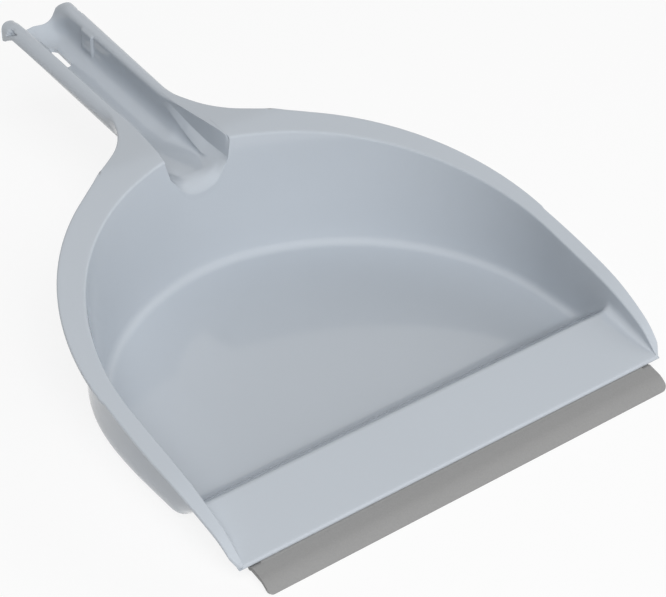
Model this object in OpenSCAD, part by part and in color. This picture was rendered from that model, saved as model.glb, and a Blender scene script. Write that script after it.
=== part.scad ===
// Hand-held dustpan: one moulded pan with a hollow grip, and one rubber lip held by its bead.
// Millimetres, +Z up, lip towards -Y, grip towards +Y.
// Origin: middle of the flat underside of the tray.
// Stations are lengths along Y, measured back from the front edge of the lip.

/* [Rim] */
// width over the rim flange
pan_width = 224.8; // [212:0.4:236]
// radius of each half of the back rim
rim_radius = 119.5; // [118.5:0.5:126]
// station where the sides turn into the back rim
rim_centre = 90; // [86:0.5:94]
// height of the flange top where its straight slope starts
rim_height = 29.3; // [27.5:0.1:32]
// station where the straight slope starts
rim_start = 52; // [48:0.5:56]
// slope of the flange, degrees
rim_tilt = 12.28; // [11:0.02:13.5]
// width of the flange beside the tray
flange_side = 6.8; // [5.8:0.1:8]
// sheet thickness
sheet = 2; // [1.7:0.1:2.4]

/* [Tray] */
// radius of each half of the inner wall at the flange
wall_radius = 110; // [109:0.5:114]
// station where the inner wall turns at the flange
wall_centre = 83.5; // [80:0.5:87]
// radius of each half of the wall at the floor
floor_radius = 107; // [105.5:0.5:110]
// station where the wall turns at the floor
floor_centre = 77.5; // [74:0.5:80]
// lean of the side walls from floor to flange
side_draft = 1.6; // [1:0.1:2.4]
// fillet between floor and walls
floor_fillet = 4.5; // [3:0.1:6]
// height at which the wall outline is given
wall_level = 58; // [54:0.5:62]

/* [Ramp] */
// station of the front edge of the ramp
ramp_front = 10.6; // [10.2:0.1:11]
// height of the top of that edge
front_height = 9.4; // [9:0.1:10.5]
// station of the crest
crest_station = 41; // [37:0.5:44]
// height of the crest
crest_height = 16.7; // [15:0.1:19]
// station where the riser meets the tray floor
riser_foot = 57; // [54:0.5:60]
// radius under the foot of the riser
foot_round = 6; // [4:0.5:8]
// fall of the flange towards the front corner, per square millimetre
nose_fall = 0.0045; // [0.004:0.0001:0.005]
// extra fall at the front corner, per square millimetre
corner_fall = 0.024; // [0.018:0.001:0.026]
// length of that corner
corner_length = 13.4; // [12:0.1:14]
// radius of the front corner of the flange in plan
corner_radius = 13; // [11:0.5:15]
// radius of the slight bow of the flange beside the ramp
side_bow = 380; // [340:5:440]

/* [Grip] */
// station where the grip starts to rise
grip_start = 240; // [236:0.5:246]
// station of the end of the turned-down edges
grip_end = 326; // [320:0.5:336]
// how far the rounded end of the channel runs past them
tongue_length = 6; // [4:0.5:8]
// rise of the flange between the back rim and the grip
neck_rise = 1; // [0.4:0.1:2]
// slope of the grip, degrees
grip_tilt = 5.7; // [4.5:0.1:7]
// width at the end of the grip
grip_width = 39.2; // [38:0.2:42]
// width at the neck
neck_width = 34.2; // [33.2:0.2:35.4]
// radius of the outer edges of the grip
wing_round = 4.8; // [4:0.1:5.2]
// depth of the turned-down edges
skirt_depth = 5.4; // [5.3:0.1:8]
// width of the channel
channel_width = 22.6; // [22.2:0.2:23]
// depth of the channel
channel_depth = 16; // [14:0.2:18]
// radius at the bottom of the channel
channel_round = 8; // [6:0.2:9]
// radius of the rounded top edge of the channel
channel_lip = 2.6; // [1.8:0.1:3]
// radius of the end of the channel in plan
end_round = 25; // [22:0.5:32]
// length over which the channel floor turns up at its end
scoop_length = 12; // [9:0.5:13]
// height by which it turns up
scoop_rise = 7; // [4:0.5:8]
// depth of the web that closes each turned-down edge
end_depth = 9.2; // [8:0.1:11]
// radius of the neck between grip and rim
neck_round = 42.5; // [38:0.5:44]
// station where the neck runs into the straight sides of the grip
neck_station = 241.5; // [240:0.5:246]

/* [Grip details] */
// width of the hanging slot
slot_width = 6; // [5:0.1:8]
// length of the hanging slot
slot_length = 18; // [14:0.5:19]
// how far the front end of the slot lies before the end of the turned-down edges
slot_setback = 25.5; // [25:0.5:30]
// how far the snap pads lie before the end of the turned-down edges
pad_setback = 25.5; // [24:0.5:30]
// radius of a snap pad
pad_radius = 11; // [8:0.5:12]
// how far a snap pad stands out of the channel wall
pad_height = 1; // [0.6:0.1:1.4]
// length of the relief opening in each turned-down edge
relief_length = 5.2; // [3.6:0.1:6]
// height of the relief opening
relief_height = 3.8; // [2.4:0.1:4.2]
// length over which the turned-down edges deepen towards the end web
deepen_length = 9; // [7:0.5:12]

/* [Gusset] */
// station of the rear end of the gusset face
gusset_rear = 231; // [227:0.5:235]
// station of its outer front corner
gusset_front = 190; // [188:0.5:193]
// station of its inner lower corner
gusset_low = 209; // [206:0.5:213]
// half width of the opening in the flange at the front of the gusset
gusset_half = 15.2; // [14.6:0.1:16]
// drop of the outer front corner below the flange
gusset_drop = 9; // [7:0.5:11]

/* [Lip] */
// gap from the rim flange to each end of the lip
lip_inset = 11.6; // [11.2:0.1:13]
// diameter of the bead
bead_diameter = 5; // [4.6:0.1:5.2]
// gap round the bead
bead_clearance = 0.08; // [0.04:0.01:0.1]
// station of the bead
bead_station = 12.6; // [12.5:0.1:13]
// height of the bead
bead_height = 5.1; // [5:0.05:5.3]
// wall of the rail round the bead
rail_wall = 1.6; // [1.2:0.1:1.8]
// how far bead and rail stop short of the ends of the lip
rail_inset = 4; // [3:0.5:8]
// thickness of the blade where it leaves the bead
blade_root = 2.2; // [1.8:0.1:2.4]
// thickness of the blade at its tip
blade_tip = 1.2; // [0.8:0.1:1.6]
// slope of the first part of the blade, degrees
blade_start_angle = 14; // [12:0.5:16]
// slope at the tip, degrees
blade_tip_angle = 68; // [62:0.5:72]
// radius of the curved part of the blade
blade_radius = 8.7; // [8:0.1:9.2]

/* [Hidden] */
$fn = 96;
origin_station = 116;
eps = 0.01;
far = 400;
rim_steps = 24;
blade_steps = 12;
fillet_steps = 4;
wing_reach = 4;
grow_top = 22;
bow_shift = 18;
bow_facets = 360;
corner_inset = 3.2;
corner_setback = 0.8;
wing_lap = 9;
gusset_step = 1;
gusset_back = 2.2;
level_share = 0.932;
root_back = 0.62;
root_up = 0.72;
mouth_top = 0.86;
mouth_back = 0.5;
mouth_low = 0.8;
scoop_turn = 75;
scoop_steps = 12;
half_width = pan_width/2;
wall_half = half_width - flange_side;
floor_half = wall_half - side_draft;
level_start = rim_start + (rim_radius + rim_centre - rim_start)*level_share;
level_height = rim_height + tan(rim_tilt)*(level_start - rim_start);
grip_height = level_height + neck_rise;
ramp_slope = (crest_height - front_height)/(crest_station - ramp_front);
ramp_angle = atan(ramp_slope);
riser_angle = atan((crest_height - sheet)/(riser_foot - crest_station));
riser_slope = tan(riser_angle);
under_shift = sheet*(1/cos(ramp_angle) - 1/cos(riser_angle))/(ramp_slope + riser_slope);
foot_under = crest_station + (crest_height - sheet/cos(riser_angle))/riser_slope;
foot_centre = foot_under + foot_round*tan(riser_angle/2);
total_end = grip_end + tongue_length;
slot_station = grip_end - slot_setback;
pad_station = grip_end - pad_setback;
scoop_radius = (scoop_length*scoop_length + scoop_rise*scoop_rise)/(2*scoop_rise);
scoop_start = (total_end - grip_start)/cos(grip_tilt) - scoop_length;
lip_half = half_width - lip_inset;
rail_half = lip_half - rail_inset;
bead_radius = bead_diameter/2;
groove_radius = bead_radius + bead_clearance;
rail_radius = groove_radius + rail_wall;
mouth_z = bead_height + groove_radius*mouth_top;
mouth_y = bead_station - groove_radius*mouth_back;
channel_half = channel_width/2;
gusset_inner = channel_half - gusset_step;
gusset_reach = gusset_inner - channel_half + channel_round;
gusset_rise = channel_round - sqrt(channel_round*channel_round - gusset_reach*gusset_reach);
neck_half = neck_width/2;
rim_shift = rim_radius - half_width;
neck_x = neck_half + neck_round;
neck_run = [neck_x + rim_shift, neck_station - rim_centre];
neck_bearing = atan2(neck_run[1], neck_run[0]) - acos((rim_radius + neck_round)/norm(neck_run));
neck_normal = [cos(neck_bearing), sin(neck_bearing)];
rim_touch = [-rim_shift, rim_centre] + rim_radius*neck_normal;
neck_touch = [neck_x, neck_station] - neck_round*neck_normal;
wing_start = gusset_rear - wing_lap;
wing_length = (grip_end - wing_start)/cos(grip_tilt);
taper_angle = atan((grip_width - neck_width)/2/wing_length);
blade_top_y = bead_station - bead_radius*root_back;
blade_top_z = bead_height + bead_radius*root_up;
arc_forward = blade_radius*(sin(blade_tip_angle) - sin(blade_start_angle));
arc_down = blade_radius*(cos(blade_start_angle) - cos(blade_tip_angle));
straight_run = blade_top_y - arc_forward;
straight_drop = straight_run*tan(blade_start_angle);
bend_y = arc_forward;
bend_z = blade_top_z - straight_drop;
bend_cy = bend_y + blade_radius*sin(blade_start_angle);
bend_cz = bend_z - blade_radius*cos(blade_start_angle);

// height of the flange top at a station
function corner_line(y) = corner_fall*pow(max(0, ramp_front + corner_length - y), 2);
function slope_line(y) = rim_height + tan(rim_tilt)*(y - rim_start);
function front_line(y) = slope_line(y) - nose_fall*pow(max(0, rim_start - y), 2) - corner_line(y);
function neck_line(y) = level_height + neck_rise*(y - level_start)/(grip_start - level_start);
function grip_line(y) = grip_height + tan(grip_tilt)*(y - grip_start);
function rim_top(y) = y < level_start ? front_line(y) : y < grip_start ? neck_line(y) : grip_line(y);
function gusset_level(y) = grip_line(y) - channel_depth + gusset_rise;
function steps(a, b, n) = [for (i = [0:n]) a + (b - a)*i/n];

// stations at which the flange top is drawn
rim_stations = concat(steps(ramp_front, rim_start, rim_steps), [level_start, grip_start, total_end + sheet]);
rim_curve = [for (y = rim_stations) [y, rim_top(y)]];
rim_under = [for (i = [len(rim_stations) - 1:-1:0]) [rim_stations[i], rim_top(rim_stations[i]) - sheet]];

// a side view carried across the pan, station to Y and height to Z
module across(width = far) {
  rotate([90, 0, 90])
    linear_extrude(height = width, center = true)
      children();
}

// plan of the tray at one level: straight sides and a back of two arcs
module tray_plan(half, radius, centre, front) {
  intersection_for (s = [-1, 1]) {
    union() {
      translate([-s*(radius - half), centre])
        circle(radius);
      translate([s > 0 ? half - far : -half, front])
        square([far, centre - front]);
    }
  }
}

// one level of the tray walls, grown outwards by a wall thickness
module level_slab(z, grow, inset) {
  t = (z - sheet)/(wall_level - sheet);
  half = floor_half + t*(wall_half - floor_half) + grow - inset;
  radius = floor_radius + t*(wall_radius - floor_radius) + grow - inset;
  centre = floor_centre + t*(wall_centre - floor_centre);
  translate([0, 0, z])
    linear_extrude(height = eps)
      tray_plan(half, radius, centre, ramp_front - sheet);
}

// space enclosed by the walls, with its floor fillet, grown outwards by a wall thickness
module tray_form(grow) {
  r = floor_fillet + grow;
  hull() {
    for (i = [0:fillet_steps]) {
      a = 90*i/fillet_steps;
      level_slab(sheet - grow + r*(1 - cos(a)), grow, r*(1 - sin(a)));
    }
    level_slab(wall_level + grow_top, grow, 0);
  }
}

// side view of everything above the floor, the riser and the ramp
module inner_view() {
  polygon([[-far, front_height - ramp_slope*(far + ramp_front)], [crest_station, crest_height],
    [riser_foot, sheet], [far, sheet], [far, far], [-far, far]]);
}

// side view of the pan between its underside and the flange top
module outer_view() {
  foot = [for (a = steps(riser_angle, 0, fillet_steps))
    [foot_centre - foot_round*sin(a), foot_round*(1 - cos(a))]];
  polygon(concat([[ramp_front, front_height - sheet/cos(ramp_angle)],
    [crest_station + under_shift, crest_height + ramp_slope*under_shift - sheet/cos(ramp_angle)]],
    foot, [[total_end + sheet, 0]], [for (i = [len(rim_curve) - 1:-1:0]) rim_curve[i]]));
}

// side view of everything below the flange top
module below_view() {
  polygon(concat(rim_curve, [[total_end + sheet, -far], [ramp_front, -far]]));
}

// side view of the flange sheet
module flange_view() {
  polygon(concat(rim_curve, rim_under));
}

// plan of the flange with its bowed sides, front corners and neck
module flange_plan() {
  intersection() {
    tray_plan(half_width, rim_radius, rim_centre, ramp_front);
    bow_plan();
    corner_plan();
  }
  neck_plan();
}

// plan inside the slight bow of both sides
module bow_plan() {
  intersection_for (s = [-1, 1])
    translate([-s*(side_bow - half_width), rim_centre - bow_shift])
      circle(side_bow, $fn = bow_facets);
}

// plan inside the two rounded front corners
module corner_plan() {
  cx = half_width - corner_radius - corner_inset;
  cy = ramp_front + corner_radius*corner_setback;
  union() {
    translate([-far, cy])
      square([2*far, far]);
    translate([-cx, ramp_front])
      square([2*cx, far]);
    for (s = [-1, 1])
      translate([s*cx, cy])
        circle(corner_radius);
  }
}

// plan of the neck: straight sides that leave the rim and run into two hollow corners
module neck_plan() {
  difference() {
    for (s = [-1, 1])
      mirror([s > 0 ? 0 : 1, 0])
        polygon([[0, rim_centre], rim_touch, neck_touch, [neck_half, neck_station], [0, neck_station]]);
    for (s = [-1, 1])
      translate([s*neck_x, neck_station])
        circle(neck_round);
  }
  translate([-neck_half, rim_centre])
    square([neck_width, grip_start - rim_centre]);
}

// end view of the channel: round bottom, straight walls and rounded top edges
module channel_view(grow, open) {
  half = channel_half + grow;
  round = channel_round + grow;
  for (s = [-1, 1])
    translate([s*(half - round), round - channel_depth - grow])
      circle(round);
  translate([round - half, -channel_depth - grow])
    square([2*(half - round), channel_depth]);
  translate([-half, round - channel_depth - grow])
    square([2*half, channel_depth + open]);
}

// end view of the round-over between channel and grip top
module flare_view() {
  half = channel_half + channel_lip;
  difference() {
    translate([-half, -channel_lip])
      square([2*half, far]);
    for (s = [-1, 1])
      translate([s*half, -channel_lip])
        circle(channel_lip);
  }
}

// an end view carried along the sloping grip, between two stations
module along_grip(from, to) {
  at_grip(to)
    linear_extrude(height = (to - from)/cos(grip_tilt))
      children();
}

// the frame of an end view of the grip at a station
module at_grip(station) {
  translate([0, grip_start, grip_height])
    rotate([grip_tilt, 0, 0])
      translate([0, (station - grip_start)/cos(grip_tilt), 0])
        rotate([90, 0, 0])
          children();
}

// end view of one turned-down edge, measured from its outer side
module edge_view() {
  translate([wing_round, -sheet])
    square([wing_reach, sheet]);
  translate([0, -skirt_depth])
    square([sheet, skirt_depth - wing_round + eps]);
  intersection() {
    translate([wing_round, -wing_round])
      difference() {
        circle(wing_round);
        circle(wing_round - sheet);
      }
    translate([0, -wing_round])
      square(wing_round);
  }
}

// both turned-down edges, closing in towards the neck
module grip_edges() {
  for (s = [-1, 1])
    mirror([s > 0 ? 1 : 0, 0, 0])
      at_grip(grip_end)
        translate([-grip_width/2, 0, 0])
          rotate([0, taper_angle, 0])
            translate([0, 0, -wing_reach])
              linear_extrude(height = wing_length + wing_reach)
                edge_view();
}

// side view of what lies below the turned-up end of the channel, at a depth under its floor
module scoop_view(depth) {
  r = scoop_radius + depth;
  translate([scoop_start, scoop_radius - channel_depth])
    polygon(concat([for (a = steps(0, scoop_turn, scoop_steps)) [r*sin(a), -r*cos(a)]],
      [[2*r, 0], [2*r, -2*r], [0, -2*r]]));
}

// that side view carried across the sloping grip
module scoop_space(depth) {
  translate([0, grip_start, grip_height])
    rotate([grip_tilt, 0, 0])
      across()
        scoop_view(depth);
}

// plan of the grip: square ends on its edges and a rounded end on the channel
module end_plan() {
  translate([0, total_end - end_round])
    circle(end_round);
  translate([-far, 0])
    square([2*far, grip_end]);
}

// webs that close the turned-down edges, and the deeper part of the edges beside them
module end_webs() {
  half = grip_width/2;
  top = grip_line(grip_end);
  for (s = [-1, 1]) {
    translate([s > 0 ? channel_half : -half, grip_end - sheet, top - end_depth])
      cube([half - channel_half, sheet, end_depth - wing_round]);
    translate([s*(half - sheet/2), 0, 0])
      across(sheet)
        polygon([[grip_end, top - end_depth], [grip_end, top - wing_round],
          [grip_end - deepen_length, top - wing_round], [grip_end - deepen_length, top - skirt_depth]]);
  }
}

// block that carries a gusset face beside the channel
module gusset_block() {
  under = gusset_back*sheet;
  for (s = [-1, 1])
    translate([s*(channel_half + gusset_half + sheet)/2, 0, 0])
      across(gusset_half + sheet - channel_half)
        polygon([[gusset_front - sheet, rim_top(gusset_front)], [gusset_rear + sheet, rim_top(gusset_rear)],
          [gusset_rear + sheet, rim_top(gusset_rear) - under], [gusset_low, gusset_level(gusset_low) - under],
          [gusset_front - sheet, gusset_level(gusset_front) - under]]);
}

// space above a gusset face
module gusset_space() {
  top = far/4;
  front = gusset_front - 2*sheet;
  rear_z = rim_top(gusset_rear);
  front_z = rim_top(gusset_front) - gusset_drop;
  for (s = [-1, 1])
    mirror([s > 0 ? 0 : 1, 0, 0])
      polyhedron(
        points = [[channel_half, gusset_rear, rear_z], [gusset_half, gusset_front, front_z],
          [gusset_half, front, front_z - sheet], [gusset_inner, front, gusset_level(front)],
          [gusset_inner, gusset_low, gusset_level(gusset_low)], [gusset_inner, gusset_rear, rear_z],
          [channel_half, gusset_rear, top], [gusset_half, gusset_front, top],
          [gusset_half, front, top], [gusset_inner, front, top],
          [gusset_inner, gusset_low, top], [gusset_inner, gusset_rear, top]],
        faces = [[4, 1, 0], [5, 4, 0], [4, 2, 1], [4, 3, 2], [7, 10, 6], [10, 11, 6], [8, 10, 7], [9, 10, 8],
          [1, 7, 6, 0], [2, 8, 7, 1], [3, 9, 8, 2], [4, 10, 9, 3], [5, 11, 10, 4], [0, 6, 11, 5]]);
}

// hanging slot through the floor of the channel
module hang_slot() {
  for (y = [slot_station + slot_width/2, slot_station + slot_length - slot_width/2])
    translate([0, y, 0])
      cylinder(d = slot_width, h = far);
  translate([-slot_width/2, slot_station + slot_width/2, 0])
    cube([slot_width, slot_length - slot_width, far]);
}

// rounded snap pads on the channel walls
module snap_pads() {
  reach = pad_radius - pad_height;
  intersection() {
    for (s = [-1, 1])
      translate([s*(channel_half + reach), pad_station, 0])
        cylinder(r = pad_radius, h = far);
    along_grip(pad_station - 2*pad_radius, pad_station + 2*pad_radius)
      translate([-channel_half - sheet/2, channel_round - channel_depth])
        square([channel_width + sheet, channel_depth - channel_round - channel_lip]);
  }
}

// three-cornered relief openings in the turned-down edges, in front of the end webs
module relief_cuts() {
  rear = grip_end - 2*sheet;
  top = grip_line(rear) - sheet/2;
  for (s = [-1, 1])
    translate([s*(grip_width/2 + sheet/2), 0, 0])
      across(4*sheet)
        polygon([[rear, top], [rear - relief_length, top], [rear, top - relief_height]]);
}

// rail under the ramp edge that holds the bead
module bead_rail() {
  across(2*rail_half)
    translate([bead_station, bead_height])
      circle(rail_radius);
}

// groove for the bead and the mouth through which the blade leaves
module bead_groove() {
  across()
    translate([bead_station, bead_height])
      circle(groove_radius);
  across()
    polygon([[bead_station, mouth_z], [bead_station - far, mouth_z], [bead_station - far, -far],
      [mouth_y, -far], [mouth_y, bead_height - groove_radius*mouth_low], [bead_station, bead_height]]);
}

module pan() {
  color([0.69, 0.72, 0.76])
    translate([0, -origin_station, 0]) {
      difference() {
        union() {
          intersection() {
            tray_form(sheet);
            across()
              outer_view();
          }
          intersection() {
            linear_extrude(height = far)
              flange_plan();
            across()
              flange_view();
          }
          intersection() {
            union() {
              difference() {
                along_grip(gusset_front - 2*sheet, total_end + sheet)
                  channel_view(sheet, channel_depth);
                scoop_space(sheet);
              }
              gusset_block();
            }
            linear_extrude(height = far)
              end_plan();
            across()
              below_view();
          }
          intersection() {
            grip_edges();
            linear_extrude(height = far)
              end_plan();
          }
          end_webs();
          bead_rail();
        }
        intersection() {
          tray_form(0);
          across()
            inner_view();
        }
        difference() {
          along_grip(gusset_front - 4*sheet, total_end + 2*sheet)
            channel_view(0, far);
          scoop_space(0);
        }
        along_grip(gusset_rear - sheet, total_end + 2*sheet)
          flare_view();
        gusset_space();
        hang_slot();
        relief_cuts();
        bead_groove();
      }
      snap_pads();
    }
}

// side view of the blade from the bead to its tip
module blade_view() {
  angles = steps(blade_start_angle, blade_tip_angle, blade_steps);
  inner = steps(blade_radius - blade_root, blade_radius - blade_tip, blade_steps);
  top = [for (a = angles) [bend_cy - blade_radius*sin(a), bend_cz + blade_radius*cos(a)]];
  low = [for (i = [blade_steps:-1:0]) [bend_cy - inner[i]*sin(angles[i]), bend_cz + inner[i]*cos(angles[i])]];
  polygon(concat([[blade_top_y, blade_top_z]], top, low, [[bead_station, bead_height - blade_root/4]]));
}

module rubber_lip() {
  color([0.6, 0.6, 0.59])
    translate([0, -origin_station, 0]) {
      across(2*rail_half)
        translate([bead_station, bead_height])
          circle(bead_radius);
      across(2*lip_half)
        blade_view();
    }
}

pan();
rubber_lip();
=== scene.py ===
"""Looks of a hand-held dustpan: a moulded tray with a channel grip, and a rubber lip.

The sizes are worked out in millimetres at stations measured back from the front edge of the lip,
and put into the meshes in metres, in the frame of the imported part.
"""

import math

import bmesh
import bpy
import numpy as np
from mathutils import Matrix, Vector


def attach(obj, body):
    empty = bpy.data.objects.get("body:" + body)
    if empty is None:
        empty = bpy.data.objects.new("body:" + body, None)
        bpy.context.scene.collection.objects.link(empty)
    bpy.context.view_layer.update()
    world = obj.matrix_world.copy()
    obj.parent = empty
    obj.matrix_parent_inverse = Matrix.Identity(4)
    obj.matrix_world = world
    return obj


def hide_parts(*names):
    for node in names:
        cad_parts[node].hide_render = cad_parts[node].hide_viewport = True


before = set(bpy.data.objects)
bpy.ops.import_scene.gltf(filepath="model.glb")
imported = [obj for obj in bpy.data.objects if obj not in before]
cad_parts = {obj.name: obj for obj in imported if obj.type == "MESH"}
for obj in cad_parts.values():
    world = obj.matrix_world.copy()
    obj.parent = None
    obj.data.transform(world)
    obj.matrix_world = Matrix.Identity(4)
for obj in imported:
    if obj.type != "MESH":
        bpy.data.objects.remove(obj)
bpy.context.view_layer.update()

bl_info = {
    "name": "Dustpan looks",
    "version": (1, 0, 0),
    "blender": (4, 5, 0),
    "location": "View3D > Sidebar > Dustpan",
    "description": "Builds the moulded tray, its grip and its rubber lip, with finishes and a plain stage",
    "category": "Object",
}

MM = 0.001
ORIGIN_STATION = 116.0
FLIP = np.array([-1.0, 1.0, 1.0])

# A name that ends in STEP holds where a smooth change starts and the length that it takes, one that ends in
# LINE a station, the height there and the slope.

# Plans of the pan: half width, arc radius and station of the arc's centre.
FLOOR_PLAN = (104.0, 107.0, 77.5)
WALL_PLAN = (105.6, 110.0, 83.5)
RIM_PLAN = (112.38, 119.5, 90.0)

# Heights of the plans of floor and wall.
FLOOR_LEVEL = 2.0
WALL_LEVEL = 58.0

# Ramp from the side, as station and height: front edge, crest, foot of the riser, end of the straight floor.
RAMP_FRONT = 10.6
RAMP_TOP = ((11.4, 9.59), (41.0, 16.7), (57.0, FLOOR_LEVEL), (FLOOR_PLAN[2], FLOOR_LEVEL))
RAMP_UNDER = ((11.4, 7.53), (40.4, 14.5), (54.9, 0.0), (FLOOR_PLAN[2], 0.0))
FOOT_REACH = 5.0
UNDER_REACHES = (2.0, 4.0)

# Flange from the side: a slope that falls off towards the front, then a nearly level neck.
RIM_LINE = (52.0, 29.3, 0.2176)
NOSE_FALL = 0.0045
CORNER_FALL = 0.024
CORNER_FALL_START = 24.0
LEVEL_LINE = (199.0, 61.3, 0.0244)
LEVEL_BLEND = 0.5
GRIP_BLEND = 0.04
GRIP_STEP = (215.0, 15.0)

# Outer edge of the flange: the bow of each side, and the round of each front corner with its centre.
BOW_RADIUS = 380.0
BOW_STATION = 72.0
BOW_OFFSET = 267.6
BOW_END = 92.0
CORNER_ROUND = 13.0
CORNER_AT = (96.6, 21.0)

# Least heights of wall and flange edge above the ramp, and least width of the flange beside it.
LEAST_WALL = 0.4
LEAST_EDGE = 0.1
LEAST_FLANGE = 1.4

# How far the half-round ends of the sheet, of the end webs and of the rail reach.
SHEET_END = 0.8
WEB_END = 0.5
RAIL_END = 0.6

# Outside of the tray: how far its heel swells towards the back, the reach of the heel's round, and the place
# across where the round of the flange's edge starts beside the neck.
HEEL_SWELL = 4.2
HEEL_STEP = (82.0, 52.0)
HEEL_REACH = 10.0
EDGE_STEP = (45.5, 5.0)

# Greatest shares of the wall's height that the rounds at its foot and at its rim take.
FOOT_SHARE = 0.45
RIM_SHARE = 0.3

# Stations and sizes of the grip.
NECK_ROUND = 42.5
NECK_HALF = 17.1
NECK_STATION = 241.5
NECK_FRONT = 198.2
GRIP_LINE = (240.0, 62.3, 0.0998)
GRIP_END = 326.0
TONGUE_END = 332.0
GRIP_HALF = 19.6
TAPER_START = 222.0
SIDES_START = 235.5
CHANNEL_DEPTH = 16.0

# The neck leaves the rim in a straight line that touches the rim's arc at this angle, and runs into the
# hollow corner of the neck at this place across and this station.
NECK_RUN = (NECK_HALF + NECK_ROUND + RIM_PLAN[1] - RIM_PLAN[0], NECK_STATION - RIM_PLAN[2])
RIM_TOUCH = (math.atan2(NECK_RUN[1], NECK_RUN[0])
             - math.acos((RIM_PLAN[1] + NECK_ROUND) / math.hypot(NECK_RUN[0], NECK_RUN[1])))
NECK_TOUCH = (NECK_HALF + NECK_ROUND * (1.0 - math.cos(RIM_TOUCH)),
              NECK_STATION - NECK_ROUND * math.sin(RIM_TOUCH))
STRETCH_STEP = (math.radians(64.8), math.radians(5.0))

# Mouth of the channel, where its floor rolls over into the back wall: station where the roll starts, its
# radius and its angle at the wall, and the rise of the floor near it.
MOUTH_START = 198.9
MOUTH_ROLL = 9.0
WALL_LEAN = 80.9
MOUTH_RISE = 3.0
MOUTH_STEP = (200.0, 40.0)

# Notch in the back wall for the channel: half width at the top, a height inside it, height under the neck,
# and its edge, which is tucked up into the grip's sheet, less so towards the sides.
NOTCH_HALF = 16.8
NOTCH_LEVEL = 40.0
NECK_UNDER = 58.3
NOTCH_EDGE = 0.3
NOTCH_REACH = 0.05
TUCK_HALF = 14.7
TUCK_FADE = 8.7
TUCK_EDGE = 2.0
TUCK_BROW = 2.6

# Rows of the grip: first and last station and count, closer where the turned-down edges start.
NECK_ROWS = ((MOUTH_START + 1.0, 217.5, 8), (218.2, 224.2, 11), (225.5, 250.0, 20), (252.5, 292.0, 22))
PAD_ROWS = (293.0, 15)
SLOT_ROWS = 25
SLOT_COLUMNS = 6
END_ROWS = ((0.6, 324.0, 10), (324.8, TONGUE_END - 0.8, 9))

# Lines along the channel, as pairs of station and half width or height. The gusset face rises from its foot
# to its ridge, and the channel's edge lies above the ridge.
FLOOR_HALF = ((189.2, 6.0), (197.0, 8.6), (208.0, 11.3))
FOOT_HALF = ((191.0, 14.7), (199.0, 12.1), (206.0, 10.7), (213.0, 10.9), (221.0, 11.25), (240.0, 11.35))
FOOT_HEIGHT = ((191.0, 49.6), (199.0, 47.9), (206.0, 47.7), (213.0, 49.2), (221.0, 51.8), (236.0, 58.6))
RIDGE_HALF = ((190.0, 15.2), (206.0, 14.5), (218.0, 13.6), (232.0, 12.1), (240.0, 11.42))
RIDGE_HEIGHT = ((190.5, 50.6), (206.0, 51.8), (218.0, 54.8), (232.0, 60.0))
EDGE_HALF = ((192.3, NOTCH_HALF), (198.0, 16.0), (203.0, 15.2), (214.0, 14.0), (223.0, 13.1), (231.0, 12.3),
             (240.0, 11.5))

# Where foot and ridge of the gusset face meet the back wall, as place across and height, and how far the
# grip's skin stands off that wall.
FOOT_AT_WALL = (14.7, 49.6)
RIDGE_AT_WALL = (15.1, 50.6)
SKIN_GAP = 0.05

# Direction down the back wall, and how far the grip's front hem follows it.
WALL_DOWN = (0.0, -0.158, -0.987)
HEM_LENGTH = 1.2

# First and last stations of the channel's edge and of the outer edge, and last ones of foot and ridge.
EDGE_RUN = (192.3, 327.2)
WING_RUN = (197.4, GRIP_END)
FOOT_END = 328.9
RIDGE_END = 328.6

# The grip's top lies a little below the flange's, and its channel edge dips at both ends.
TOP_DROP = 0.06
FRONT_DIP = 1.6
FRONT_DIP_STEP = (EDGE_RUN[0], 2.8)
END_DIP = 0.8
END_DIP_STEP = (322.0, 5.0)

# Channel past the gusset: height of the foot above the floor and below the edge. The ridge keeps its distance
# from both foot and edge, and the gusset has a sheet of its own.
CHANNEL_STEP = (231.0, 9.0)
FOOT_RISE = 10.6
FOOT_BELOW = 2.6
RIDGE_ABOVE = 0.4
RIDGE_BELOW = 0.8
GUSSET_SHEET = 0.8

# End of the grip: half widths that the section draws in to, and the turn-up of the floor.
TAIL_STEP = (318.0, 14.0)
TAIL_FLOOR = 7.4
TAIL_FOOT = 10.4
TAIL_FOOT_DEPTH = 5.2
TAIL_RIDGE = 11.3
TAIL_EDGE = 12.6
TAIL_BACK = 2.0
SCOOP_LENGTH = 12.0
SCOOP_ROUND = 14.7

# Turned-down edges: where they start, and how much they deepen towards the end.
SKIRT_STEP = (224.4, 2.2)
DEEPEN = 4.8
DEEPEN_RUN = (317.0, 325.5)

# Reaches of the grip's rounds: creases, channel edge, outer edge at the rim and on the neck, floor.
CREASE_REACH = 0.3
HEM_REACH = 0.25
EDGE_REACH = 0.35
EDGE_REACH_STEP = (222.0, 24.0)
EDGE_REACH_LOW = 1.2
WING_REACH_RIM = 0.05
WING_REACH_NECK = 0.8
WING_NECK_STEP = (198.0, 6.0)
WING_GRIP_STEP = (226.0, 24.0)
FLOOR_FLAT = 3.0
FLOOR_EXTRA = 2.5
FLOOR_STEP = (200.0, 30.0)
FLOOR_EXTRA_LOW = 1.6

# Snap pads: first and last station, depth below the grip's top and place across, each with its ramp.
PAD_RUN = ((295.2, 0.9), (305.6, 1.2))
PAD_DEPTH = ((0.6, 1.0), (12.0, 1.6))
PAD_PLACE = ((9.2, 1.0), (13.2, 1.0))

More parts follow.
